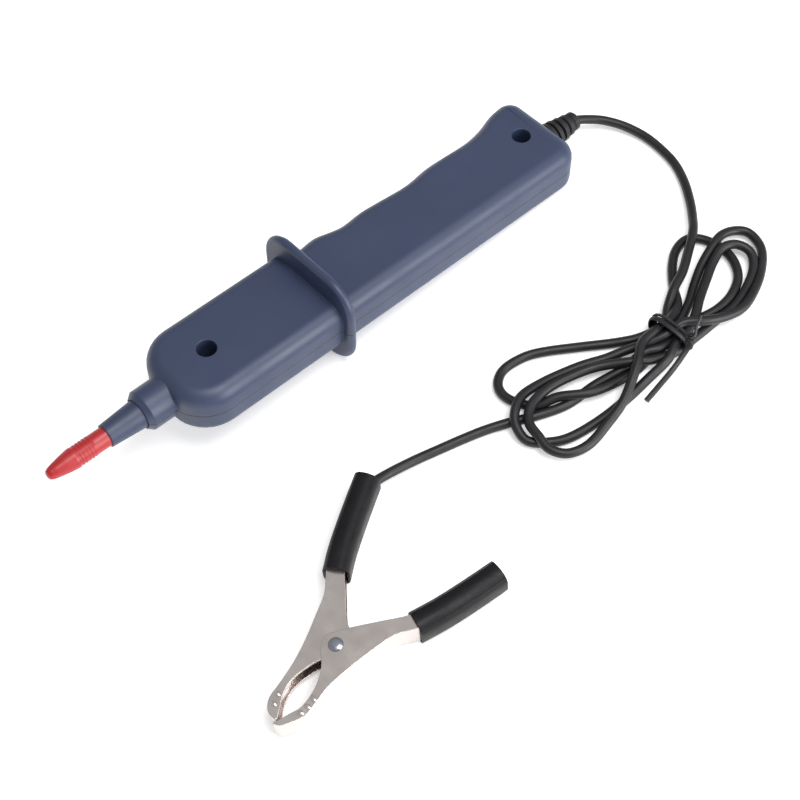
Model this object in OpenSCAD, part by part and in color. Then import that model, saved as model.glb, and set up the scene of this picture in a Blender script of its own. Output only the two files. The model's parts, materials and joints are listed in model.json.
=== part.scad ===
// Circuit test light: a two-shell plastic handle with a capped steel probe, a lit window in its
// lower face, a single lead tied in a hank and a sprung steel ground clip with dipped grips.
// Millimetres. The tester lies tilted on its finger guard and its tail, as gravity leaves it.

/* [Housing] */
// Tail end of the housing, measured from the nose screw
tail_x = 138; // [134:1:146]
// Thickness of the housing
body_t = 16; // [15:0.5:18]
// Height of the parting line and of the probe's axis
split_z = 7.8; // [7.4:0.1:8.4]
// Wall thickness of both shells
wall = 2.2; // [1.8:0.1:2.4]
// Radius of the upper edge
top_r = 4.7; // [3:0.1:5]
// Radius of the lower edge
low_r = 3.5; // [2.5:0.1:4.5]

/* [Finger guard] */
// Distance of the guard's middle plane from the nose screw
guard_x = 38.8; // [36:0.2:42]
// Half width of the guard
guard_hw = 19.7; // [18:0.1:21]
// How far the guard reaches below the lower face
guard_low = 8.6; // [6:0.2:10]
// How far the guard reaches above the upper face
guard_high = 8.2; // [6:0.2:10]
// Thickness of the guard, and of its round rim
guard_t = 3; // [2.4:0.1:3.4]
// Corner radius of the guard
guard_r = 10.6; // [8:0.2:12]

/* [Probe] */
// Radius of the needle
needle_r = 1.0; // [0.8:0.05:1.2]
// Distance of the needle's point from the nose screw
needle_tip = 53; // [48:0.5:54]
// Distance of the cap's rounded end from the nose screw
cap_tip = 57; // [56:0.5:62]
// Distance of the sleeve's front end from the nose screw
sleeve_tip = 37; // [36:0.5:38]

/* [Screws] */
// Distance between the two housing screws
screw_pitch = 127; // [125:0.5:128]
// Radius of the deep screw wells
well_r = 3.1; // [2.9:0.1:3.4]

/* [Lead] */
// Radius of the lead
lead_r = 1.5; // [1.2:0.1:1.6]
// Height of the hank of lead
hank_h = 9; // [6:0.5:11]

/* [Ground clip] */
// Height of the clip's middle plane above the table
clip_z = 5.2; // [5.2:0.1:5.8]
// Sheet thickness of the levers
sheet = 0.8; // [0.6:0.1:1]
// Half height of the outer lever's channel
outer_h = 4.1; // [3.9:0.1:4.1]
// Radius of the rivet's shank
rivet_r = 1.4; // [1.2:0.1:1.5]

/* [Hidden] */
$fn = 48;

navy = "#454F66";
black = "#2B292D";
steel = "#BDB4B0";
nose_x = -16.8;         // front face of the housing
near_y = -16.4;         // straight side of the housing
far_y = 15.6;           // other side, ahead of the guard
nose_r = 12.6;          // plan radius of both nose corners
tail_r = 7;             // plan radius of the tail's near corner
heel_r = 5.5;           // plan radius of the tail's far corner
heel_y = 15.8;          // far side at the tail
collar_r = 6.45;
collar_x = -25.6;
lead_y = -1;            // the lead leaves the tail a little off the middle
boot_x = 151;
ledge_z = 5.4;          // underside of the screw towers
ledge_t = 1.4;
board_z = 9;
board_t = 1.4;
lens_x = [11, 31];
lens_hw = 4.6;
clear = 0.1;

// The side of the handle under the fingers: a hump behind the guard and three shallow scallops
finger_line = [[39.6, 11.9], [45, 12.8], [51, 13.4], [56, 12.2], [61, 11.3], [69, 11.9],
    [78, 11.3], [87, 10.8], [96, 11.9], [105, 11.8], [113, 11.6], [120, 12.7], [127, 15],
    [132.5, heel_y]];

function unit(v) = v / norm(v);
function left(v) = [-v.y, v.x];
function arc(c, r, a0, a1, n) =
    [for (i = [0:n]) let (a = a0 + (a1 - a0) * i / n) c + r * [cos(a), sin(a)]];
function flip(p) = [for (i = [len(p) - 1:-1:0]) p[i]];
function at(p, i) = p[max(0, min(len(p) - 1, i))];

// A smooth line through the points, with n steps between each two
function smooth_at(a, b, c, d, t) = 0.5 * (2 * b + (c - a) * t
    + (2 * a - 5 * b + 4 * c - d) * t * t + (3 * b - a - 3 * c + d) * t * t * t);
function smooth(p, n) = concat([for (i = [0:len(p) - 2], j = [0:n - 1])
    smooth_at(at(p, i - 1), at(p, i), at(p, i + 1), at(p, i + 2), j / n)], [p[len(p) - 1]]);

// Moves an open line to its left by d
function beside(p, d) = [for (i = [0:len(p) - 1])
    p[i] + d * left(unit(at(p, i + 1) - at(p, i - 1)))];

// Moves a closed anticlockwise outline inwards by d
function inset(p, d) = let (n = len(p)) [for (i = [0:n - 1])
    let (a = left(unit(p[i] - p[(i + n - 1) % n])), b = left(unit(p[(i + 1) % n] - p[i])))
    p[i] + (a + b) * d / (1 + a * b)];

// Closed solid through rings that have the same even number of points, each anticlockwise about
// the way they run. Each end is closed by strips from its first half to its second. A loop joins
// its last ring to its first, and has no ends.
module skin(rings, loop = false) {
    m = len(rings[0]);
    last = len(rings) - 1;
    count = (last + 1) * m;
    sides = [for (k = [0:loop ? last : last - 1], i = [0:m - 1])
        let (a = k * m + i, b = k * m + (i + 1) % m, c = (a + m) % count, d = (b + m) % count)
        each [[a, c, b], [b, c, d]]];
    strips = [for (i = [0:m / 2 - 2]) [i, i + 1, m - 2 - i, m - 1 - i]];
    ends = loop ? [] : concat(strips, [for (s = strips) [for (i = flip(s)) last * m + i]]);
    polyhedron(points = [for (ring = rings) each ring], faces = concat(sides, ends));
}

// Rings of a tube of n sides along a route, each square to it
function tube_rings(route, r, n) = [for (i = [0:len(route) - 1])
    let (along = unit(at(route, i + 1) - at(route, i - 1)),
        side = unit(cross([0, 0, 1], along)), up = cross(along, side))
    [for (k = [0:n - 1]) route[i] + r * (cos(k * 360 / n) * side + sin(k * 360 / n) * up)]];
module tube(route, r, n = 8) {
    skin(tube_rings(route, r, n));
}

// The tester's own frame has x along the handle, from the nose screw to the tail, and z = 0 on
// the lower face. lay() sets it down on the guard's rim and the tail's lower edge.
rim_r = guard_t / 2;
drop_x = tail_x - low_r - guard_x;
drop_z = low_r + guard_low - rim_r;
tilt = atan2(drop_z, drop_x) - asin((low_r - rim_r) / norm([drop_x, drop_z]));
lay_z = guard_x * sin(tilt) + (guard_low - rim_r) * cos(tilt) + rim_r;
boot_end_r = 3.1;
laid_back = boot_x * cos(tilt) + (split_z + boot_end_r) * sin(tilt);
laid_front = -cap_tip * cos(tilt) + split_z * sin(tilt);
lay_x = -(laid_back + laid_front) / 2;
function laid(p) = [p.x * cos(tilt) + p.z * sin(tilt) + lay_x, p.y,
    p.z * cos(tilt) - p.x * sin(tilt) + lay_z];
module lay() {
    translate([lay_x, 0, lay_z]) rotate([0, tilt, 0]) children();
}

// Turns a shape made about z so that it lies along the probe's axis, z becoming x
module on_axis(y = 0) {
    translate([0, y, split_z]) rotate([0, 90, 0]) children();
}
module half_space(upper) {
    translate([-80, -50, upper ? split_z : split_z - 60]) cube([260, 100, 60]);
}

// ---- Housing ----
finger = smooth(finger_line, 3);
plan = concat(
    arc([nose_x + nose_r, near_y + nose_r], nose_r, 180, 270, 9),
    [[guard_x - 0.8, near_y]],
    [for (i = [0:len(finger) - 2]) [min(finger[i].x, tail_x - tail_r - 0.6), near_y]],
    arc([tail_x - tail_r, near_y + tail_r], tail_r, 270, 360, 7),
    arc([tail_x - heel_r, heel_y - heel_r], heel_r, 0, 84, 6),
    flip(finger),
    [[guard_x - 0.8, far_y]],
    arc([nose_x + nose_r, far_y - nose_r], nose_r, 90, 180, 9));

function level(d, z) = [for (p = inset(plan, d)) [p.x, p.y, z]];
edge_steps = [15, 30, 45, 60, 75, 90];

// Both run past the parting line, where half_space() cuts them
module upper_body() {
    skin(concat([level(0, split_z - 2), level(0, body_t - top_r)],
        [for (a = edge_steps) level(top_r * (1 - cos(a)), body_t - top_r * (1 - sin(a)))]));
}
module lower_body() {
    skin(concat([for (a = flip(edge_steps)) level(low_r * (1 - cos(a)), low_r * (1 - sin(a)))],
        [level(0, low_r), level(0, split_z + 2)]));
}
module cavity() {
    translate([0, 0, wall]) linear_extrude(body_t - 2 * wall) polygon(inset(plan, wall));
}

// Plate with rounded corners and a full round rim, skinned from front to back and cut flat
guard_mid_y = guard_hw - guard_r;
guard_plan = concat(
    arc([guard_mid_y, guard_r - guard_low], guard_r, 270, 360, 8),
    arc([guard_mid_y, body_t + guard_high - guard_r], guard_r, 0, 90, 8),
    arc([-guard_mid_y, body_t + guard_high - guard_r], guard_r, 90, 180, 8),
    arc([-guard_mid_y, guard_r - guard_low], guard_r, 180, 270, 8));
module guard() {
    steps = [[-rim_r * (2 - sin(60)), rim_r * 1.5], each [for (a = [-60:30:60])
        [rim_r * sin(a), rim_r * (1 - cos(a))]], [rim_r * (2 - sin(60)), rim_r * 1.5]];
    intersection() {
        skin([for (s = steps) [for (p = inset(guard_plan, s.y)) [guard_x + s.x, p.x, p.y]]]);
        translate([guard_x - rim_r, -40, -40]) cube([guard_t, 80, 80]);
    }
}

// Bores that the sleeve, the needle's tail and the lead's boot sit in
neck_r = 3.5;
module nose_and_tail_bores() {
    on_axis() {
        translate([0, 0, collar_x - 1]) cylinder(r = 4.75, h = 2.5);
        translate([0, 0, collar_x]) cylinder(r = neck_r + 0.05, h = 14);
        translate([0, 0, -20.05]) cylinder(r = 4.85, h = 2);
    }
    on_axis(lead_y) translate([0, 0, tail_x - 4]) cylinder(r = neck_r + 0.05, h = 8);
}
module collar() {
    shoulder = 1.6;
    on_axis() translate([0, 0, collar_x]) {
        cylinder(r1 = 5.1, r2 = collar_r, h = shoulder);
        translate([0, 0, shoulder]) cylinder(r = collar_r, h = nose_x - collar_x);
    }
}
module screw_places() {
    for (x = [0, screw_pitch]) translate([x, 0, 0]) children();
}
module board_posts(z0, z1) {
    for (x = [10, 54], y = [-7.6, 6.9]) translate([x, y, z0]) cylinder(r = 1, h = z1 - z0);
}

module back_shell() {
    color(navy) lay() difference() {
        union() {
            difference() {
                intersection() {
                    union() {
                        upper_body();
                        guard();
                        collar();
                    }
                    half_space(true);
                }
                cavity();
            }
            screw_places() translate([0, 0, ledge_z]) cylinder(r = 4.6, h = body_t - ledge_z - 1);
            board_posts(board_z + board_t, body_t - 1);
        }
        nose_and_tail_bores();
        screw_places() {
            translate([0, 0, ledge_z + ledge_t]) cylinder(r = well_r, h = body_t);
            translate([0, 0, ledge_z - 1]) cylinder(r = 1.5, h = body_t);
        }
    }
}

module window_plan(x0, x1, hw, r) {
    translate([x0 + r, -hw]) square([x1 - x0 - 2 * r, 2 * hw]);
    translate([x0, r - hw]) square([x1 - x0, 2 * hw - 2 * r]);
    for (x = [x0 + r, x1 - r], y = [r - hw, hw - r]) translate([x, y]) circle(r);
}

module front_shell() {
    color(navy) lay() difference() {
        union() {
            difference() {
                intersection() {
                    union() {
                        lower_body();
                        guard();
                        collar();
                    }
                    half_space(false);
                }
                cavity();
            }
            screw_places() translate([0, 0, 1]) cylinder(r = 3.8, h = ledge_z - 1 - clear);
            board_posts(1, board_z);
            // Two ribs that hold back the crimped ring on the lead
            for (y = [anchor_y - 5.6, anchor_y + 1.8])
                translate([anchor_x + 2, y, 1]) cube([2, 3.8, board_z - 1]);
        }
        nose_and_tail_bores();
        screw_places() translate([0, 0, 1.2]) cylinder(r = 1.35, h = ledge_z);
        translate([0, 0, -1]) linear_extrude(wall + 2)
            window_plan(lens_x[0] - clear, lens_x[1] + clear, lens_hw + clear, 2.5);
    }
}

module indicator_lens() {
    color("#E8EEF0") lay() {
        translate([0, 0, 0.15]) linear_extrude(wall - 0.1)
            window_plan(lens_x[0], lens_x[1], lens_hw, 2.4);
        translate([0, 0, wall]) linear_extrude(0.8)
            window_plan(lens_x[0] - 1, lens_x[1] + 1, lens_hw + 1, 2.4);
    }
}

// Two self-tapping screws with pan heads and cross recesses
module housing_screws() {
    color("#33343A") lay() screw_places() translate([0, 0, ledge_z + ledge_t]) difference() {
        rotate_extrude() polygon([[0, -5], [0.7, -5], [1.3, -4.2], [1.3, 0], [2.7, 0], [2.7, 1],
            [2.3, 1.6], [1.2, 1.9], [0, 1.9]]);
        for (a = [0, 90]) rotate([0, 0, a]) translate([-1.3, -0.3, 0.9]) cube([2.6, 0.6, 2]);
    }
}

// ---- Probe ----
module probe_sleeve() {
    color(navy) lay() on_axis() rotate_extrude() polygon([[needle_r, -33], [3.2, -33],
        [3.2, -sleeve_tip], [3.65, -sleeve_tip], [4.6, -24.3], [neck_r, -24.3], [neck_r, -20],
        [4.8, -20], [4.8, -18.1], [neck_r, -18.1], [neck_r, -14], [needle_r, -14]]);
}
module probe_needle() {
    color("#C9CACC") lay() on_axis() rotate_extrude() polygon([[0, -needle_tip],
        [0.1, -needle_tip], [needle_r, 6 - needle_tip], [needle_r, -9], [0, -9]]);
}
cap_rear = -33.3;
module probe_cap() {
    grooves = [for (i = [0:4]) each [[3.25, -42.3 - 1.1 * i], [3.1, -42.5 - 1.1 * i],
        [3.1, -42.9 - 1.1 * i], [3.25, -43.1 - 1.1 * i]]];
    bullet = [[3.3, -48.2], [2.9, 6 - cap_tip], [2.3, 2.8 - cap_tip], [1.9, 1.2 - cap_tip],
        [1.4, 0.3 - cap_tip], [0.8, -cap_tip], [0, -cap_tip]];
    bore_r = needle_r + 0.08;
    color("#C93A3E") lay() on_axis() rotate_extrude() polygon(concat(
        [[0, -needle_tip - 0.8], [bore_r, 5.2 - needle_tip], [bore_r, cap_rear],
            [3.1, cap_rear], [3.1, -41.5]], grooves, bullet));
}
module probe_wire() {
    color("#B03030") lay() tube([[-9, 0, split_z], [-7.6, 0.6, split_z], [-6.6, 2.4, 7.9],
        [-5.6, 4.6, 8], [-3.5, 6.6, 8], [0, 7.4, 8], [3.5, 6.8, 8], [6.5, 5.6, 8],
        [9, 4.6, 8.2], [12, 4, 8.2]], 0.7);
}

// ---- Electronics ----
led_x = [16, 26];
lead_gap = 0.6;         // half the spacing of each lamp's two legs
module circuit_board() {
    color("#2E6B45") lay() difference() {
        translate([8, -9, board_z]) cube([50, 17, board_t]);
        for (x = led_x, s = [-1, 1])
            translate([x + s * lead_gap, 0, board_z - 1]) cylinder(r = 0.3, h = board_t + 2, $fn = 16);
    }
}
module lamp(x, tone) {
    color(tone) lay() translate([x, 0, 0]) {
        rotate_extrude() polygon(concat([[0, board_z], [1.9, board_z], [1.9, board_z - 0.9],
            [1.5, board_z - 0.9]], arc([0, 5.4], 1.5, 0, -90, 6)));
        for (s = [-1, 1])
            translate([s * lead_gap, 0, board_z]) cylinder(r = 0.25, h = board_t + 0.5, $fn = 16);
    }
}
module led_red() {
    lamp(led_x[0], "#D83A34");
}
module led_green() {
    lamp(led_x[1], "#3FB560");
}
module driver_chip() {
    color("#26272A") lay() translate([34, -1, board_z + board_t]) {
        translate([-2.5, -2, 0.1]) cube([5, 4, 1.5]);
        for (x = [-1.9:1.27:2], s = [-1, 1]) translate([x - 0.2, s > 0 ? 2 : -2.9, 0])
            cube([0.4, 0.9, 0.5]);
    }
}
module resistors() {
    r = 1.1;
    rise = board_z + board_t + r;
    color("#C9B38A") lay() for (x = [41, 45, 49]) translate([x, -1, rise]) {
        rotate([90, 0, 0]) cylinder(r = r, h = 6, center = true);
        rotate([90, 0, 0]) cylinder(r = 0.3, h = 9, center = true, $fn = 16);
        for (y = [-4.5, 4.5]) translate([0, y, -r]) cylinder(r = 0.3, h = r + 0.3, $fn = 16);
    }
}

// ---- Lead ----
anchor_x = 112;
anchor_y = -4.5;
module strain_relief() {
    ribs = [for (i = [0:3]) let (x = 140.6 + 2.8 * i, r = 4.5 - 0.45 * i)
        each [[3.1 - 0.1 * i, x], [r, x + 0.4], [r, x + 1.8], [3.1 - 0.1 * i, x + 2.2]]];
    color(black) lay() on_axis(lead_y) rotate_extrude() polygon(concat([[lead_r, 133.6],
        [5, 133.6], [5, tail_x - wall], [neck_r, tail_x - wall], [neck_r, tail_x], [4.7, tail_x],
        [4.7, tail_x + 2]], ribs, [[lead_r, boot_x]]));
}
module lead_inner() {
    color(black) lay() tube([[boot_x, lead_y, split_z], [142, lead_y, split_z],
        [134, lead_y, split_z], [132.8, -2.4, split_z], [131.2, -5.8, split_z], [127.5, -8, split_z],
        [124, -7, split_z], [120.5, -4.9, split_z], [117, anchor_y, split_z],
        [106, anchor_y, split_z], [96, -3, split_z], [84, -1.5, split_z], [72, -1, split_z],
        [64, -1, split_z]], lead_r);
}
module lead_core() {
    color("#C58B55") lay() tube([[64, -1, split_z], [61, -1, 8], [58, -0.9, 8.2],
        [53, -0.6, 8.3]], 0.6);
}
module lead_anchor() {
    color(steel) lay() translate([anchor_x - 2, anchor_y, split_z]) rotate([0, 90, 0])
        difference() {
            cylinder(r = 2.5, h = 3.8);
            translate([0, 0, -1]) cylinder(r = lead_r, h = 6);
        }
}

// Round numbers along the table, from the boot to the hank and from the hank to the clip
lead_route = [laid([boot_x, lead_y, split_z]), [107.5, -3, 5.1], [112, -6.5, 3.7],
    [115.5, -12, 2.6], [117.5, -19, 1.8], [117.5, -26, 1.5], [116, -34, 1.5], [112.5, -41.5, 1.5],
    [107.5, -48.5, 1.9], [102.5, -54, 2.8]];
end_route = [[2.5, -64, 1.5], [-4.5, -61.5, 1.5], [-12.5, -59, 1.5], [-20, -57, 2],
    [-28.5, -55.5, 3.1], [-34, -55.5, 4.3], [-43, -57.5, 5.2]];
module lead() {
    color(black) tube(smooth(lead_route, 2), lead_r);
}
module lead_end() {
    color(black) tube(smooth(end_route, 2), lead_r);
}

// Outer shape of the tied hank: two lobes of loops with a tied neck between them
neck_x = [58, 71];
neck_y = [-86.5, -73.5];
neck_z = [0.9, 7.3];
right_lobe = [[71, -73.5], [78, -66], [86, -59], [94, -54], [102.2, -54.2], [109, -59.5],
    [114.5, -65], [114, -73], [108.5, -80.5], [101, -86.5], [92, -90], [81, -90], [71, -86.5]];
left_lobe = [[58, -86.5], [50, -88.5], [40, -89.5], [29, -92], [18, -93], [10, -89.5],
    [5.5, -83], [3.5, -76], [3, -69], [4.5, -62], [9.5, -55], [17, -49.5], [26, -49], [35, -53],
    [46, -61.5], [58, -73.5]];
module lead_hank() {
    color(black) {
        for (lobe = [right_lobe, left_lobe])
            linear_extrude(hank_h) polygon(smooth(lobe, 2));
        translate([neck_x[0] - 1, neck_y[0], neck_z[0]])
            cube([neck_x[1] - neck_x[0] + 2, neck_y[1] - neck_y[0], neck_z[1] - neck_z[0]]);
    }
}

// A flat plastic-coated wire, turned twice round the neck, with a stub and a long tail
module twist_tie() {
    tie_w = 1.6;
    tie_t = 0.8;
    color("#1F1E21") {
        for (x = [62.4, 65.2]) difference() {
            translate([x, neck_y[0] - tie_t, neck_z[0] - tie_t])
                cube([tie_w, neck_y[1] - neck_y[0] + 2 * tie_t, neck_z[1] - neck_z[0] + 2 * tie_t]);
            translate([x - 1, neck_y[0], neck_z[0]])
                cube([tie_w + 2, neck_y[1] - neck_y[0], neck_z[1] - neck_z[0]]);
        }
        translate([62, -88.6, 4]) cube([5, 1.4, 2.6]);
        translate([65.5, -87.6, 6.4]) rotate([0, -35, 20]) cube([1.2, 1, 5]);
        translate([41, -91.3, 3]) rotate([0, 0, 7]) cube([22, 0.8, 1.6]);
    }
}

// ---- Ground clip ----
// The clip's own frame has its rivet on z, its jaws towards -x, its handles towards +x
clip_at = [-75.8, -87.4];
clip_turn = 11.7;
inner_h = outer_h - sheet - clear;
module place_clip() {
    translate([clip_at.x, clip_at.y, clip_z]) rotate([0, 0, clip_turn]) children();
}
fixed_back = smooth([[-25.6, 0.5], [-25.4, 2.6], [-24.2, 4.4], [-21.5, 5.8], [-17, 6],
    [-10, 6.6], [-3, 8], [4, 10], [10, 11.8], [14, 14.2], [19, 17.4], [30, 21.4], [44, 26]], 3);
fixed_front = smooth([[44.2, 21.2], [32, 17], [20.5, 12.2], [14, 7.4], [8.5, 3], [4, -2.4],
    [0, -4], [-3.2, -2.4], [-5.5, 0.9], [-10.5, 3.1], [-15.5, 3.9], [-19.8, 3], [-22.5, 1.6],
    [-25, 0.5]], 3);
moving_back = smooth([[41, -25.4], [30, -22], [20, -18], [15.5, -15], [11, -11.4], [3.5, -8.9],
    [-4, -6.9], [-11, -5.6], [-16, -5.7], [-20.5, -5.5], [-23.8, -3.6], [-26.3, -1.8],
    [-27, 0.1]], 3);
moving_front = smooth([[-25.6, -0.3], [-22.3, -1.8], [-19, -3.2], [-13.5, -3], [-8.6, -1.4],
    [-5, 1], [-3.2, 2.6], [0, 4], [4, 1.5], [8, -2], [13, -6.7], [19, -12], [30, -17.4],
    [41, -21.2]], 3);

// Channel bent from sheet: two side plates and a web along the back edge
module channel(back, front, web_inside, half_h) {
    difference() {
        union() {
            for (z = [-half_h, half_h - sheet]) translate([0, 0, z])
                linear_extrude(sheet) polygon(concat(back, front));
            translate([0, 0, -half_h]) linear_extrude(2 * half_h)
                polygon(concat(back, flip(beside(back, web_inside * sheet))));
        }
        translate([0, 0, -10]) cylinder(r = rivet_r + 0.05, h = 20);
    }
}
module clip_fixed_lever() {
    color(steel) place_clip() channel(fixed_back, fixed_front, -1, inner_h);
}
module clip_moving_lever() {
    color(steel) place_clip() channel(moving_back, moving_front, -1, outer_h);
}
module clip_rivet() {
    seat = outer_h + clear / 2;
    color("#9EA3AE") place_clip() rotate_extrude() polygon([[0, -seat - 0.65], [1.6, -seat - 0.65],
        [2.3, -seat], [rivet_r, -seat], [rivet_r, seat], [2.1, seat], [1.8, seat + 0.4],
        [1.1, seat + 0.7], [0, seat + 0.75]]);
}

// Dipped sleeve: a rounded oblong tube bent along its lever
function oblong(w, h, r) = concat(arc([w - r, h - r], r, 0, 90, 3), arc([r - w, h - r], r, 90, 180, 3),
    arc([r - w, r - h], r, 180, 270, 3), arc([w - r, r - h], r, 270, 360, 3));
function sleeve_rings(path, w, h, r) = [for (i = [0:len(path) - 1])
    let (across = left(unit(at(path, i + 1) - at(path, i - 1))))
    [for (q = oblong(w, h, r)) [path[i].x + q.x * across.x, path[i].y + q.x * across.y, q.y]]];
grip_w = 3.9;
grip_h = outer_h + clear / 2 + 0.9;
module grip(path, hole_h) {
    color(black) place_clip() skin(concat(sleeve_rings(path, grip_w, grip_h, 3.2),
        flip(sleeve_rings(path, grip_w - 0.8, hole_h, 0.6))), true);
}
fixed_path = smooth([[17.7, 13.6], [25, 16.9], [36, 20.8], [46.5, 24.2]], 3);
moving_path = smooth([[17.2, -13.6], [25, -17.2], [34, -20.6], [42.8, -23.6]], 3);
module clip_fixed_grip() {
    grip(fixed_path, inner_h + clear / 2);
}
module clip_moving_grip() {
    grip(moving_path, outer_h + clear / 2);
}

// Torsion spring: turns round the rivet and a leg along each handle
module clip_spring() {
    turns = 2.5;
    coil_r = 2.4;
    wire_r = 0.45;
    start = 40;
    coil = [for (i = [0:30]) let (a = start + i * turns * 12)
        [coil_r * cos(a), coil_r * sin(a), -1.6 + 3.2 * i / 30]];
    color("#A9ABB0") place_clip() tube(concat([[14.5, 11.2, -1.6], [8, 7.2, -1.6]], coil,
        [[8, -7, 1.6], [13.5, -11, 1.6]]), wire_r, 6);
}

// Copper ring that holds the lead's end against the fixed lever, inside its grip
module clip_crimp() {
    color("#B98A5E") place_clip() translate([32, 19.2, 0]) rotate([0, 90, 18]) difference() {
        cylinder(r = 2, h = 4);
        translate([0, 0, -1]) cylinder(r = lead_r + 0.02, h = 6);
    }
}

back_shell();
front_shell();
housing_screws();
probe_sleeve();
probe_needle();
probe_cap();
probe_wire();
circuit_board();
driver_chip();
resistors();
led_red();
led_green();
indicator_lens();
strain_relief();
lead_inner();
lead_core();
lead_anchor();
lead();
lead_hank();
lead_end();
twist_tie();
clip_fixed_lever();
clip_moving_lever();
clip_rivet();
clip_spring();
clip_fixed_grip();
clip_moving_grip();
clip_crimp();
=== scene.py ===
"""Circuit test light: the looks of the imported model, with its lead at full length"""
import json
import math

import bmesh
import bpy
from bpy.props import FloatProperty, FloatVectorProperty, PointerProperty, StringProperty
from mathutils import Matrix, Vector


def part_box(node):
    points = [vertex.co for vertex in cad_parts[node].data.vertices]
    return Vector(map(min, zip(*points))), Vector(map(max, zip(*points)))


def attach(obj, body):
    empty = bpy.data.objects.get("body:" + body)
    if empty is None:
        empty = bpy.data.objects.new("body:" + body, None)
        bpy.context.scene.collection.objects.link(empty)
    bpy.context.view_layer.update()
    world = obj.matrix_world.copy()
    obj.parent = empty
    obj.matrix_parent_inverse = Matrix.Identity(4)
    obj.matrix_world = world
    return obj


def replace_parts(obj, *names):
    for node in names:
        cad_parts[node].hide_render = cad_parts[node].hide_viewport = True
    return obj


bl_info = {
    "name": "Circuit test light",
    "version": (1, 0, 0),
    "blender": (4, 5, 0),
    "location": "View3D > Sidebar > Test light",
    "description": "Builds the finishes, the lead and the soft parts of a circuit test light",
    "category": "Object",
}

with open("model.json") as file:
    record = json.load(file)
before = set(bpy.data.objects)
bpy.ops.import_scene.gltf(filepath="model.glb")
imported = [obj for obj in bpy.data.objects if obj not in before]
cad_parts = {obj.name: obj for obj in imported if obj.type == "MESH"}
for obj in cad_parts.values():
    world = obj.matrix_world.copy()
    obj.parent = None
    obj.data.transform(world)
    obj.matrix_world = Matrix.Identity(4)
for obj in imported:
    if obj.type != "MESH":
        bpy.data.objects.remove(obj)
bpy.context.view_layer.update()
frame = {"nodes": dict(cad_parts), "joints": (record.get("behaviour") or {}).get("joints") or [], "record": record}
MM = 0.001
MOUNTS = {m["name"]: m for m in frame["record"]["mounts"]}
HINGE = next(j for j in frame["joints"] if j["name"] == "clip_open")
# Parting line, below the back face
SEAM_DEPTH = 0.0082
# The clip's jaws point this far from -X, and its dimples are in its own frame: x, y, length, turn
HINGE_TURN = math.radians(11.7)
MOVING_DIMPLES = [(-15.6, -4.5, 1.2, 80), (-18.2, -4.6, 1.1, 95), (-20.6, -4.1, 1.0, 120)]
FIXED_DIMPLES = [(-19.6, 4.5, 0.9, 80), (-22.3, 3.6, 0.9, 60)]
# Half width and half height of a dimple, in millimetres
DIMPLE_WIDE, DIMPLE_HIGH = 0.75, 0.4

# The tie is wound round the neck of the loops: its sides in Y and Z, and its two turns along X
TIE_Y = (-0.08695, -0.07255)
TIE_Z = (0.0005, 0.0083)
TIE_X, TIE_PITCH = 0.0626, 0.0034
TIE_STEPS, TIE_STEP_DEGREES, TIE_START_DEGREES = 48, 15, -60
TIE_SQUARENESS = 0.72
# The knot, and the stub and the tail that leave it, as offsets from it unless they reach the table
KNOT = Vector((0.0645, TIE_Y[0] + 0.0006, 0.0078))
STUB = [(0.0015, 0.0012, -0.0006), (0.0012, -0.0008, 0.0012), (0.0033, 0.0003, 0.0024),
        (0.0068, 0.0018, 0.0028)]
TAIL_START = [(-0.001, 0.002, -0.0014), (-0.0006, -0.0012, 0.0002), (-0.003, -0.0016, -0.0016)]
TAIL_END = [(0.0556, -0.0888, 0.0042), (0.0487, -0.0897, 0.0036), (0.0418, -0.0906, 0.0034)]

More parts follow.
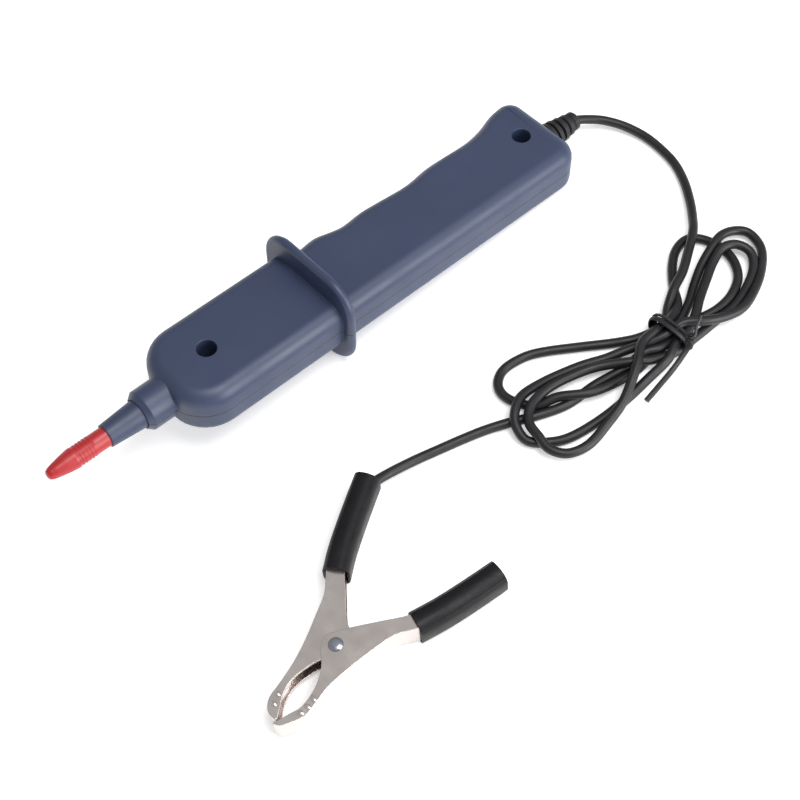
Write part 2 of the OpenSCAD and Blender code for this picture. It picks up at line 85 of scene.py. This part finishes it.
# The lead's centreline in millimetres, from the boot to the crimp in the clip
LEAD_ROUTE = [
    # Off the boot, down to the table and round to the tie
    (103.5, -1, 6.3), (107.5, -3, 5.1), (112, -6.5, 3.7), (115.5, -12, 2.6), (117.5, -19, 1.8),
    (117.5, -26, 1.5), (116, -34, 1.5), (112.5, -41.5, 1.5), (107.5, -48.5, 1.9),
    (102.5, -54, 2.8), (97.5, -58.5, 4.1), (91, -62.5, 3.9), (84, -66.5, 4), (77.5, -69, 4.2),
    (71.5, -72, 3), (67, -75, 2.4), (62.5, -75, 2.4),
    # First left loop
    (57, -73, 1.9), (51, -69, 1.5), (43, -63, 1.5), (34, -56.5, 1.5), (28, -53.5, 1.5),
    (21, -52.5, 1.5), (16.5, -54.5, 1.5), (14.5, -58, 1.5), (15, -62.5, 1.5), (18.5, -68.5, 1.7),
    (24.5, -71.5, 3.3), (32, -77, 3.5), (41, -79.5, 2.1), (50.5, -80.5, 1.5), (57.5, -79, 1.6),
    # First right loop
    (64, -78, 2.4), (70.5, -77.5, 2), (77.5, -75, 1.6), (84, -71.5, 1.8), (90.5, -68.5, 2.5),
    (97.5, -66.5, 3.6), (103, -65.5, 3.7), (108, -67, 2.7), (110.5, -70.5, 2.1),
    (109, -76.5, 1.6), (103.5, -81.5, 1.5), (96, -85.5, 1.9), (87.5, -88, 2.8), (80, -87, 4.1),
    (73, -84, 5.9), (68.5, -80.5, 6), (62.5, -79.5, 5.2),
    # Second left loop
    (57.5, -77.5, 4.1), (51, -74, 2.8), (45, -71.5, 2.1), (39, -68.5, 1.9), (33.5, -66.5, 2),
    (25.5, -64.5, 2.6), (17.5, -64, 3.9), (12.5, -66, 4.3), (9, -69.5, 3.5), (8, -75, 2.1),
    (12, -79.5, 1.5), (18, -83, 1.5), (28.5, -85, 1.5), (39.5, -85.5, 1.7), (48.5, -85.5, 2.8),
    (56.5, -85.5, 4.3), (62.5, -83.5, 4.8),
    # Second right loop
    (67.5, -83, 4.2), (74, -80.5, 4.2), (80, -77, 3.6), (87, -73.5, 3.3), (93.5, -70.5, 3.6),
    (99, -69.2, 4.1), (103.4, -71.2, 3.7), (104.8, -75.8, 2.6), (101, -80.3, 1.8), (94, -83.5, 1.5),
    (86, -85.5, 1.5), (79, -85, 1.5), (73, -85, 1.7), (68, -85, 2.2), (62.5, -85, 2.4),
    # Third left loop
    (54.5, -82.5, 3.3), (49, -79, 4.3), (40.5, -72.5, 3.5), (32, -69, 3.3), (24, -67.5, 3.7),
    (16.5, -68.5, 4.4), (12, -72, 4.2), (10.5, -77.5, 4.3), (10, -82.5, 3.7), (13, -87, 3.1),
    (19.5, -89, 2.8), (28, -88, 3.1), (37.5, -86, 4.3), (48, -81, 6.4), (54.5, -77, 6.5),
    (62.5, -76.5, 5.6),
    # Third right loop
    (67, -76.5, 5), (74, -73.5, 3), (79, -67.5, 1.5), (84.5, -62, 1.5), (90, -58.5, 1.5),
    (95.5, -58, 1.5), (99, -61.5, 1.5), (100.5, -67.5, 1.5), (99.5, -73.5, 1.5), (95.5, -79, 1.5),
    (89, -82, 1.5), (82, -82.5, 1.5), (75, -81, 1.5), (69.5, -80.5, 1.8), (65, -81, 2.6),
    # Out under the loops to the clip
    (58.5, -81, 3.7), (53.5, -78.5, 3.5), (46.5, -77.5, 1.5), (36, -75.5, 1.5),
    (25.5, -74.5, 1.5), (16.5, -71, 1.5), (9, -67, 1.5), (2.5, -64, 1.5), (-4.5, -61.5, 1.5),
    (-12.5, -59, 1.5), (-20, -57, 2), (-28.5, -55.5, 3.1), (-34, -55.5, 4.3), (-43, -57.5, 5.2),
]


# ---- Settings ----
class HousingSettings(bpy.types.PropertyGroup):
    """Finish of the moulded housing"""

    colour: StringProperty(
        name="Colour", description="Housing plastic, sRGB hex", default="#2B3550"
    )
    seam: FloatProperty(
        name="Seam", description="Half width of the parting line", default=0.00013, unit="LENGTH"
    )
    cap_colour: StringProperty(
        name="Cap", description="Probe cap vinyl, sRGB hex", default="#A01218"
    )


class LeadSettings(bpy.types.PropertyGroup):
    """The lead and its tie"""

    diameter: FloatProperty(
        name="Diameter", description="Outer diameter of the lead", default=0.003, unit="LENGTH"
    )
    colour: StringProperty(name="Colour", description="Lead vinyl, sRGB hex", default="#111013")
    tie_width: FloatProperty(
        name="Tie width", description="Width of the flat tie", default=0.0018, unit="LENGTH"
    )
    tie_thickness: FloatProperty(
        name="Tie thickness", description="Thickness of the flat tie", default=0.0009, unit="LENGTH"
    )


class ClipSettings(bpy.types.PropertyGroup):
    """Finish of the ground clip"""

    plate: StringProperty(name="Plate", description="Nickel plate, sRGB hex", default="#CFC7C3")
    grip: StringProperty(name="Grip", description="Dipped grips, sRGB hex", default="#0D0D10")


class StudioSettings(bpy.types.PropertyGroup):
    """Camera, light and floor"""

    camera_at: FloatVectorProperty(
        name="Camera", description="Place of the camera", default=(-0.16165, -0.2453, 0.4018),
        subtype="TRANSLATION",
    )
    aim: FloatVectorProperty(
        name="Aim", description="Point in the middle of the view", default=(-0.00794, -0.03771, 0.0),
        subtype="TRANSLATION",
    )
    roll: FloatProperty(
        name="Roll", description="Roll of the camera", default=math.radians(-7.02), subtype="ANGLE"
    )
    lens: FloatProperty(name="Lens", description="Focal length in millimetres", default=72.0)
    floor: FloatProperty(name="Floor", description="Width of the floor", default=6.0, unit="LENGTH")


# ---- Materials ----
def linear(code):
    """A hex sRGB colour as linear RGBA"""
    channels = [int(code[i : i + 2], 16) / 255 for i in (1, 3, 5)]
    return [c / 12.92 if c <= 0.04045 else ((c + 0.055) / 1.055) ** 2.4 for c in channels] + [1.0]


def per(size_mm):
    """Pattern scale that gives one feature in so many millimetres"""
    return 1000 / size_mm


def add(tree, kind, settings=None, **links):
    """Adds a node; settings are sockets by name or the node's own properties, links are sources"""
    node = tree.nodes.new(kind)
    for key, value in (settings or {}).items():
        if key in node.inputs:
            node.inputs[key].default_value = value
        else:
            setattr(node, key, value)
    for key, source in links.items():
        tree.links.new(source, node.inputs[key.replace("_", " ")])
    return node


def two_tones(tree, source, low, high, first=0.3, second=0.7):
    """A colour ramp between two hex colours"""
    ramp = add(tree, "ShaderNodeValToRGB", Fac=source)
    ends = ramp.color_ramp.elements
    ends[0].position, ends[1].position = first, second
    ends[0].color, ends[1].color = linear(low), linear(high)
    return ramp.outputs["Color"]


def ranged(tree, source, low, high, start=0.3, stop=0.7):
    """A number that runs from low to high as the source runs from start to stop"""
    limits = {"From Min": start, "From Max": stop, "To Min": low, "To Max": high}
    return add(tree, "ShaderNodeMapRange", limits, Value=source).outputs["Result"]


def finish(name, shader):
    """A new material: its tree, its Object coordinates and its shader with fixed settings"""
    material = bpy.data.materials.new(name)
    material.use_nodes = True
    tree = material.node_tree
    tree.nodes.clear()
    place = add(tree, "ShaderNodeTexCoord").outputs["Object"]
    surface = add(tree, "ShaderNodeBsdfPrincipled", shader)
    out = add(tree, "ShaderNodeOutputMaterial")
    tree.links.new(surface.outputs["BSDF"], out.inputs["Surface"])
    return material, tree, place, surface


def noise(tree, place, size_mm, detail=2.0, rough=0.5):
    """Noise with features of that size"""
    settings = {"Scale": per(size_mm), "Detail": detail, "Roughness": rough}
    return add(tree, "ShaderNodeTexNoise", settings, Vector=place).outputs["Fac"]


def grain(tree, surface, height, depth_mm, strength=1.0, round_mm=0.0):
    """Bump of that depth, over edges that are rounded by so much"""
    settings = {"Distance": depth_mm * MM, "Strength": strength}
    bump = add(tree, "ShaderNodeBump", settings, Height=height)
    if round_mm:
        edge = add(tree, "ShaderNodeBevel", {"samples": 6, "Radius": round_mm * MM})
        tree.links.new(edge.outputs["Normal"], bump.inputs["Normal"])
    tree.links.new(bump.outputs["Normal"], surface.inputs["Normal"])


def moulded_abs(name, colour, seam):
    """Injection-moulded ABS with a fine spark-eroded grain: satin, with a dark line at any seam"""
    material, tree, place, surface = finish(name, {"IOR": 1.53, "Specular IOR Level": 0.5})
    tone = two_tones(tree, noise(tree, place, 30, 3), colour, "#2F3A55")
    tree.links.new(ranged(tree, noise(tree, place, 9, 3), 0.4, 0.5), surface.inputs["Roughness"])
    # Real grain is near 0.1 mm, and is drawn at 0.45 mm so that it shows
    fine = noise(tree, place, 0.45, 1)
    if not seam:
        tree.links.new(tone, surface.inputs["Base Color"])
        grain(tree, surface, fine, 0.03, 0.5, 0.5)
        return material
    face = MOUNTS["back_face"]
    up = Vector(face["axis"])
    seam_level = Vector(face["pos_m"]).dot(up) - SEAM_DEPTH
    level = add(tree, "ShaderNodeVectorMath", {"operation": "DOT_PRODUCT"})
    tree.links.new(place, level.inputs[0])
    level.inputs[1].default_value = up
    offset = add(tree, "ShaderNodeMath", {"operation": "SUBTRACT"})
    tree.links.new(level.outputs["Value"], offset.inputs[0])
    offset.inputs[1].default_value = seam_level
    away = add(tree, "ShaderNodeMath", {"operation": "ABSOLUTE"})
    tree.links.new(offset.outputs[0], away.inputs[0])
    groove = ranged(tree, away.outputs[0], 0.0, 1.0, seam * 0.6, seam * 2)
    line = add(tree, "ShaderNodeMix", {"data_type": "RGBA"})
    tree.links.new(groove, line.inputs[0])
    line.inputs[6].default_value = linear("#0C1018")
    tree.links.new(tone, line.inputs[7])
    tree.links.new(line.outputs[2], surface.inputs["Base Color"])
    height = add(tree, "ShaderNodeMath", {"operation": "ADD"})
    tree.links.new(fine, height.inputs[0])
    tree.links.new(ranged(tree, away.outputs[0], 0.0, 3.0, seam * 0.6, seam * 2.5), height.inputs[1])
    grain(tree, surface, height.outputs[0], 0.03, 0.5, 0.5)
    return material


def soft_vinyl(colour):
    """Soft PVC of the pull-off cap: a little translucent, waxy, with handling marks"""
    shader = {"IOR": 1.53, "Subsurface Weight": 0.15, "Subsurface Scale": 0.002,
              "Subsurface Radius": (1.0, 0.25, 0.2), "Coat Weight": 0.15, "Coat Roughness": 0.3}
    material, tree, place, surface = finish("soft_vinyl", shader)
    tree.links.new(two_tones(tree, noise(tree, place, 5, 3), colour, "#AA181E"),
                   surface.inputs["Base Color"])
    tree.links.new(ranged(tree, noise(tree, place, 2, 2), 0.32, 0.46), surface.inputs["Roughness"])
    grain(tree, surface, noise(tree, place, 0.6, 2), 0.03, 0.5, 0.25)
    return material


def black_pvc(name, low, high, roughness, wave_mm, depth_mm, round_mm=0.0, shine=0.38):
    """Black vinyl or rubber: soft highlights broken by a shallow unevenness"""
    material, tree, place, surface = finish(name, {"IOR": 1.52, "Specular IOR Level": shine})
    tree.links.new(two_tones(tree, noise(tree, place, 7, 3), low, high), surface.inputs["Base Color"])
    rough = ranged(tree, noise(tree, place, 4, 3), roughness - 0.05, roughness + 0.07)
    tree.links.new(rough, surface.inputs["Roughness"])
    grain(tree, surface, noise(tree, place, wave_mm, 2), depth_mm, 0.6, round_mm)
    return material


def plated_steel(name, low, high, roughness, turn=0.0):
    """Plated or polished metal: faint rolling lines along one direction, and cloudy smudges"""
    material, tree, place, surface = finish(name, {"Metallic": 1.0})
    lines = {"Rotation": (0.0, 0.0, turn), "Scale": (0.06, 1.0, 1.0)}
    rolled = add(tree, "ShaderNodeMapping", lines, Vector=place).outputs["Vector"]
    tree.links.new(two_tones(tree, noise(tree, place, 14, 2), low, high, 0.2, 0.8),
                   surface.inputs["Base Color"])
    rough = ranged(tree, noise(tree, place, 5, 3), roughness - 0.03, roughness + 0.05)
    tree.links.new(rough, surface.inputs["Roughness"])
    grain(tree, surface, noise(tree, rolled, 0.35, 2), 0.002, 0.5, 0.2)
    return material


def laminate():
    """Glass-epoxy board under green solder mask, with the weave showing through"""
    material, tree, place, surface = finish("solder_mask", {"IOR": 1.5, "Coat Weight": 0.3})
    weave = add(tree, "ShaderNodeTexChecker", {"Scale": per(0.9)}, Vector=place)
    tree.links.new(two_tones(tree, weave.outputs["Fac"], "#2A6340", "#2F6E48", 0.0, 1.0),
                   surface.inputs["Base Color"])
    tree.links.new(ranged(tree, noise(tree, place, 3), 0.25, 0.4), surface.inputs["Roughness"])
    return material


def lacquer(name, low, high, roughness=0.4):
    """Small moulded, lacquered or insulated parts inside the handle"""
    material, tree, place, surface = finish(name, {"IOR": 1.5})
    tree.links.new(two_tones(tree, noise(tree, place, 2, 2), low, high), surface.inputs["Base Color"])
    tree.links.new(ranged(tree, noise(tree, place, 1, 2), roughness - 0.05, roughness + 0.1),
                   surface.inputs["Roughness"])
    grain(tree, surface, noise(tree, place, 0.4, 2), 0.01, 0.5, 0.15)
    return material


def clear_resin(name, low, high, through):
    """Tinted epoxy or clear polycarbonate, polished, with faint flow marks"""
    shader = {"IOR": 1.57, "Transmission Weight": through}
    material, tree, place, surface = finish(name, shader)
    tree.links.new(two_tones(tree, noise(tree, place, 3, 1), low, high), surface.inputs["Base Color"])
    tree.links.new(ranged(tree, noise(tree, place, 1.5, 2), 0.05, 0.14), surface.inputs["Roughness"])
    return material


# ---- Pieces ----
def paint(piece, material):
    piece.data.materials.clear()
    piece.data.materials.append(material)


def finish_nodes(material, *names):
    """Gives carried-over CAD nodes a finish"""
    for name in names:
        paint(frame["nodes"][name], material)


def new_piece(name, bm, body, material):
    """An object from a bmesh, riding on a body, with its finish"""
    mesh = bpy.data.meshes.new(name)
    bm.to_mesh(mesh)
    bm.free()
    piece = bpy.data.objects.new(name, mesh)
    bpy.context.scene.collection.objects.link(piece)
    paint(piece, material)
    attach(piece, body)
    return piece


def smooth_by_angle(bm, degrees):
    """Shades smooth, and sharp across edges that turn by more"""
    for face in bm.faces:
        face.smooth = True
    for edge in bm.edges:
        edge.smooth = len(edge.link_faces) == 2 and edge.calc_face_angle(0) < math.radians(degrees)


def smooth_shell(node, name, body, material, sharp=36):
    """A merged copy of a CAD node with flat faces joined and rounded faces shaded smooth"""
    bm = bmesh.new()
    bm.from_mesh(frame["nodes"][node].data)
    bmesh.ops.remove_doubles(bm, verts=bm.verts, dist=3e-6)
    bmesh.ops.dissolve_limit(
        bm, angle_limit=math.radians(0.4), use_dissolve_boundaries=False,
        verts=bm.verts, edges=bm.edges,
    )
    smooth_by_angle(bm, sharp)
    piece = new_piece(name, bm, body, material)
    weighted = piece.modifiers.new("weighted", "WEIGHTED_NORMAL")
    weighted.keep_sharp = True
    weighted.weight = 100
    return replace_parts(piece, node)


def sweep(bm, path, half_width, half_thickness, sides=10):
    """A flattened tube along a path, made by extruding its first ring from point to point"""
    def turned(i, normal):
        ahead = (path[min(i + 1, len(path) - 1)] - path[max(i - 1, 0)]).normalized()
        side = ahead.cross(normal).normalized()
        normal = side.cross(ahead)
        return Matrix((side, normal, ahead)).transposed().to_4x4(), normal

    normal = Vector((0.1, 0.2, 1.0))
    turn, normal = turned(0, normal)
    ring = bmesh.ops.create_circle(bm, cap_ends=True, segments=sides, radius=1.0)["verts"]
    bmesh.ops.scale(bm, verts=ring, vec=(half_width, half_thickness, 1.0))
    bmesh.ops.transform(bm, verts=ring, matrix=Matrix.Translation(path[0]) @ turn)
    edges = [e for e in bm.edges if all(v in ring for v in e.verts)]
    last = Matrix.Translation(path[0]) @ turn
    for i in range(1, len(path)):
        made = bmesh.ops.extrude_edge_only(bm, edges=edges)["geom"]
        ring = [g for g in made if isinstance(g, bmesh.types.BMVert)]
        edges = [g for g in made if isinstance(g, bmesh.types.BMEdge)]
        turn, normal = turned(i, normal)
        here = Matrix.Translation(path[i]) @ turn
        bmesh.ops.transform(bm, verts=ring, matrix=here @ last.inverted())
        last = here
    bmesh.ops.contextual_create(bm, geom=edges)
    bmesh.ops.recalc_face_normals(bm, faces=bm.faces)
    smooth_by_angle(bm, 50)


def smooth_line(points, steps):
    """Catmull-Rom line through points"""
    found = []
    for i in range(len(points) - 1):
        a, b = points[max(i - 1, 0)], points[i]
        c, d = points[i + 1], points[min(i + 2, len(points) - 1)]
        for k in range(steps):
            t = k / steps
            found.append(0.5 * (2 * b + (c - a) * t + (2 * a - 5 * b + 4 * c - d) * t * t
                                + (3 * b - a - 3 * c + d) * t ** 3))
    return found + [points[-1]]


class BuildCamera(bpy.types.Operator):
    """Adds the camera"""

    bl_idname = "testlight.camera"
    bl_label = "Camera"

    def execute(self, context):
        studio = context.scene.testlight_studio
        data = bpy.data.cameras.new("camera")
        data.lens = studio.lens
        data.clip_start, data.clip_end = 0.01, 20
        camera = bpy.data.objects.new("camera", data)
        context.scene.collection.objects.link(camera)
        at, aim = Vector(studio.camera_at), Vector(studio.aim)
        turn = (aim - at).to_track_quat("-Z", "Y").to_matrix().to_4x4()
        camera.matrix_world = Matrix.Translation(at) @ turn @ Matrix.Rotation(studio.roll, 4, "Z")
        context.scene.camera = camera
        return {"FINISHED"}


class BuildLead(bpy.types.Operator):
    """Lays the lead from the boot through the tied loops to the clip, and ties it"""

    bl_idname = "testlight.lead"
    bl_label = "Lead and tie"

    def execute(self, context):
        settings = context.scene.testlight_lead
        vinyl = black_pvc("lead_vinyl", settings.colour, "#1C1B1E", 0.42, 3.0, 0.05)
        points = [Vector(p) * MM for p in LEAD_ROUTE]
        curve = bpy.data.curves.new("lead_cord", "CURVE")
        curve.dimensions = "3D"
        curve.bevel_depth = settings.diameter / 2
        curve.bevel_resolution = 5
        curve.use_fill_caps = True
        line = smooth_line(points, 6)
        spline = curve.splines.new("POLY")
        spline.points.add(len(line) - 1)
        for knot, place in zip(spline.points, line):
            knot.co = (*place, 1.0)
        spline.use_smooth = True
        lead = bpy.data.objects.new("lead_cord", curve)
        context.scene.collection.objects.link(lead)
        paint(lead, vinyl)
        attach(lead, "root")
        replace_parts(lead, "lead", "lead_hank", "lead_end")
        self.tie(settings)
        return {"FINISHED"}

    def tie(self, settings):
        """A flat coated wire: two turns round the loops, a twisted knot, a stub and a long tail"""
        wide, thick = settings.tie_width / 2, settings.tie_thickness / 2
        (near, far), (bottom, top) = TIE_Y, TIE_Z
        middle = (near + far) / 2, (bottom + top) / 2
        half = (far - near) / 2, (top - bottom) / 2
        bm = bmesh.new()
        turns = []
        for i in range(TIE_STEPS + 1):
            angle = math.radians(TIE_START_DEGREES + TIE_STEP_DEGREES * i)
            cosine, sine = math.cos(angle), math.sin(angle)
            turns.append(Vector((
                TIE_X + TIE_PITCH * i / TIE_STEPS,
                middle[0] + half[0] * math.copysign(abs(cosine) ** TIE_SQUARENESS, cosine),
                middle[1] + half[1] * math.copysign(abs(sine) ** TIE_SQUARENESS, sine),
            )))
        sweep(bm, turns, wide, thick)
        stub = [KNOT + Vector(p) for p in STUB]
        tail = [KNOT + Vector(p) for p in TAIL_START] + [Vector(p) for p in TAIL_END]
        for ends in (stub, tail):
            sweep(bm, smooth_line(ends, 5), wide, thick)
        tie = new_piece("tie_wire", bm, "root",
                        black_pvc("tie_coating", "#1B1A1D", "#252428", 0.4, 1.0, 0.02))
        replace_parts(tie, "twist_tie")


class BuildHousing(bpy.types.Operator):
    """Finishes both shells, the sleeve, the cap, the needle, the boot and the screws"""

    bl_idname = "testlight.housing"
    bl_label = "Housing and probe"

    def execute(self, context):
        settings = context.scene.testlight_housing
        plastic = moulded_abs("shell_abs", settings.colour, settings.seam)
        for side in ("back", "front"):
            smooth_shell(f"{side}_shell", f"{side}_cover", "root", plastic)
        finish_nodes(moulded_abs("sleeve_abs", "#1C253C", 0.0), "probe_sleeve")
        finish_nodes(soft_vinyl(settings.cap_colour), "probe_cap")
        finish_nodes(plated_steel("polished_needle", "#C4C6C8", "#D6D7D8", 0.18), "probe_needle")
        finish_nodes(black_pvc("boot_rubber", "#161518", "#1D1C1F", 0.5, 0.8, 0.03, 0.2),
                     "strain_relief")
        finish_nodes(plated_steel("black_oxide", "#2B2B2F", "#38383C", 0.45), "housing_screws")
        return {"FINISHED"}


class BuildInside(bpy.types.Operator):
    """Finishes the board, its parts, the window and the lead inside the handle"""

    bl_idname = "testlight.inside"
    bl_label = "Inside"

    def execute(self, context):
        finish_nodes(laminate(), "circuit_board")
        finish_nodes(lacquer("moulded_epoxy", "#202124", "#2A2B2E", 0.5), "driver_chip")
        finish_nodes(lacquer("film_resistor", "#C2AA7C", "#D0BC93", 0.35), "resistors")
        finish_nodes(lacquer("wire_insulation", "#A82A2A", "#B83434"), "probe_wire")
        finish_nodes(clear_resin("red_epoxy", "#D8302A", "#E04A40", 0.6), "led_red")
        finish_nodes(clear_resin("green_epoxy", "#2FA552", "#4ABF6B", 0.6), "led_green")
        finish_nodes(clear_resin("clear_polycarbonate", "#EEF2F3", "#FFFFFF", 0.9),
                     "indicator_lens")
        finish_nodes(black_pvc("inner_vinyl", "#2A282C", "#343135", 0.42, 3.0, 0.05), "lead_inner")
        finish_nodes(plated_steel("bare_copper", "#B8794A", "#CC9262", 0.3),
                     "lead_core", "clip_crimp")
        finish_nodes(plated_steel("zinc_ring", "#9FA2A8", "#B4B7BC", 0.35), "lead_anchor")
        return {"FINISHED"}


class BuildClip(bpy.types.Operator):
    """Finishes the levers, the rivet and the spring, and dips the grips"""

    bl_idname = "testlight.clip"
    bl_label = "Ground clip"

    def execute(self, context):
        settings = context.scene.testlight_clip
        plate = plated_steel("nickel_plate", settings.plate, "#D6CECA", 0.24, HINGE_TURN)
        finish_nodes(plate, "clip_fixed_lever", "clip_moving_lever")
        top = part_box("clip_moving_lever")[1].z
        lower_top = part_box("clip_fixed_lever")[1].z
        self.dimples("moving_jaw_dimples", "clip_moving_side", MOVING_DIMPLES, top, plate)
        self.dimples("fixed_jaw_dimples", "root", FIXED_DIMPLES, lower_top, plate)
        finish_nodes(plated_steel("zinc_rivet", "#8E949F", "#A7ACB6", 0.3), "clip_rivet")
        finish_nodes(plated_steel("spring_wire", "#97999E", "#AEB0B5", 0.3), "clip_spring")
        vinyl = black_pvc("dipped_vinyl", settings.grip, "#131216", 0.42, 2.2, 0.12, 0.4, 0.2)
        for side, body in (("fixed", "root"), ("moving", "clip_moving_side")):
            smooth_shell(f"clip_{side}_grip", f"{side}_grip_sleeve", body, vinyl, 50)
        return {"FINISHED"}

    def dimples(self, name, body, places, height, material):
        """Rounded bosses pressed up through the jaw's plate, near its tip"""
        bm = bmesh.new()
        pivot = Vector(HINGE["pos_m"])
        turn = Matrix.Rotation(HINGE_TURN, 4, "Z")
        for x, y, long, angle in places:
            at = pivot + turn @ Vector((x * MM, y * MM, 0.0))
            shape = (
                Matrix.Translation((at.x, at.y, height))
                @ Matrix.Rotation(HINGE_TURN + math.radians(angle), 4, "Z")
                @ Matrix.Diagonal((long * MM, DIMPLE_WIDE * MM, DIMPLE_HIGH * MM, 1.0))
            )
            bmesh.ops.create_uvsphere(bm, u_segments=20, v_segments=12, radius=1.0, matrix=shape)
        smooth_by_angle(bm, 60)
        new_piece(name, bm, body, material)


class DeclareLead(bpy.types.Operator):
    """Does nothing: how long the lead is and what is on it are not stated here"""

    bl_idname = "testlight.declare"
    bl_label = "Declare lead"

    def execute(self, context):
        return {"FINISHED"}


class BuildStudio(bpy.types.Operator):
    """Adds the floor and the soft studio light"""

    bl_idname = "testlight.studio"
    bl_label = "Studio"

    def execute(self, context):
        studio = context.scene.testlight_studio
        bm = bmesh.new()
        bmesh.ops.create_grid(bm, x_segments=1, y_segments=1, size=studio.floor / 2)
        mesh = bpy.data.meshes.new("floor")
        bm.to_mesh(mesh)
        bm.free()
        floor = bpy.data.objects.new("floor", mesh)
        context.scene.collection.objects.link(floor)
        glow = {"Roughness": 0.9, "Emission Color": (1.0, 1.0, 1.0, 1.0), "Emission Strength": 0.3}
        material, tree, place, surface = finish("lit_table", glow)
        tree.links.new(two_tones(tree, noise(tree, place, 200, 2), "#FAFAFA", "#FCFCFC"),
                       surface.inputs["Base Color"])
        paint(floor, material)
        world = bpy.data.worlds.new("studio")
        world.use_nodes = True
        sky = world.node_tree.nodes["Background"]
        sky.inputs["Color"].default_value = (1.0, 1.0, 1.0, 1.0)
        sky.inputs["Strength"].default_value = 0.5
        context.scene.world = world
        context.scene.view_settings.view_transform = "Standard"
        self.lamp("key", (0.15, -0.35, 1.05), 0.6, 8.0)
        self.lamp("side", (0.3, -0.8, 0.25), 0.6, 7.0)
        return {"FINISHED"}

    def lamp(self, name, at, size, power):
        """A square area light that faces the object"""
        data = bpy.data.lights.new(name, "AREA")
        data.size, data.energy = size, power
        lamp = bpy.data.objects.new(name, data)
        bpy.context.scene.collection.objects.link(lamp)
        lamp.location = at
        lamp.rotation_euler = (-Vector(at)).to_track_quat("-Z", "Y").to_euler()


class TestLightPanel(bpy.types.Panel):
    """Lists the steps that build the test light"""

    bl_idname = "VIEW3D_PT_testlight"
    bl_label = "Circuit test light"
    bl_space_type = "VIEW_3D"
    bl_region_type = "UI"
    bl_category = "Test light"

    def draw(self, context):
        for group in SETTINGS:
            settings = getattr(context.scene, group)
            for name in settings.bl_rna.properties.keys():
                if name not in ("rna_type", "name"):
                    self.layout.prop(settings, name)
        for step in STEPS:
            self.layout.operator(step.bl_idname)


STEPS = (BuildCamera, BuildLead, BuildHousing, BuildInside, BuildClip, DeclareLead, BuildStudio)
SETTINGS = {
    "testlight_housing": HousingSettings,
    "testlight_lead": LeadSettings,
    "testlight_clip": ClipSettings,
    "testlight_studio": StudioSettings,
}


def register():
    for cls in (*SETTINGS.values(), *STEPS, TestLightPanel):
        bpy.utils.register_class(cls)
    for name, cls in SETTINGS.items():
        setattr(bpy.types.Scene, name, PointerProperty(type=cls))


def unregister():
    for name in SETTINGS:
        delattr(bpy.types.Scene, name)
    for cls in reversed((*SETTINGS.values(), *STEPS, TestLightPanel)):
        bpy.utils.unregister_class(cls)


def main():
    register()
    bpy.ops.testlight.camera()
    bpy.ops.testlight.lead()
    bpy.ops.testlight.housing()
    bpy.ops.testlight.inside()
    bpy.ops.testlight.clip()
    bpy.ops.testlight.declare()
    bpy.ops.testlight.studio()


if __name__ == "__main__":
    main()
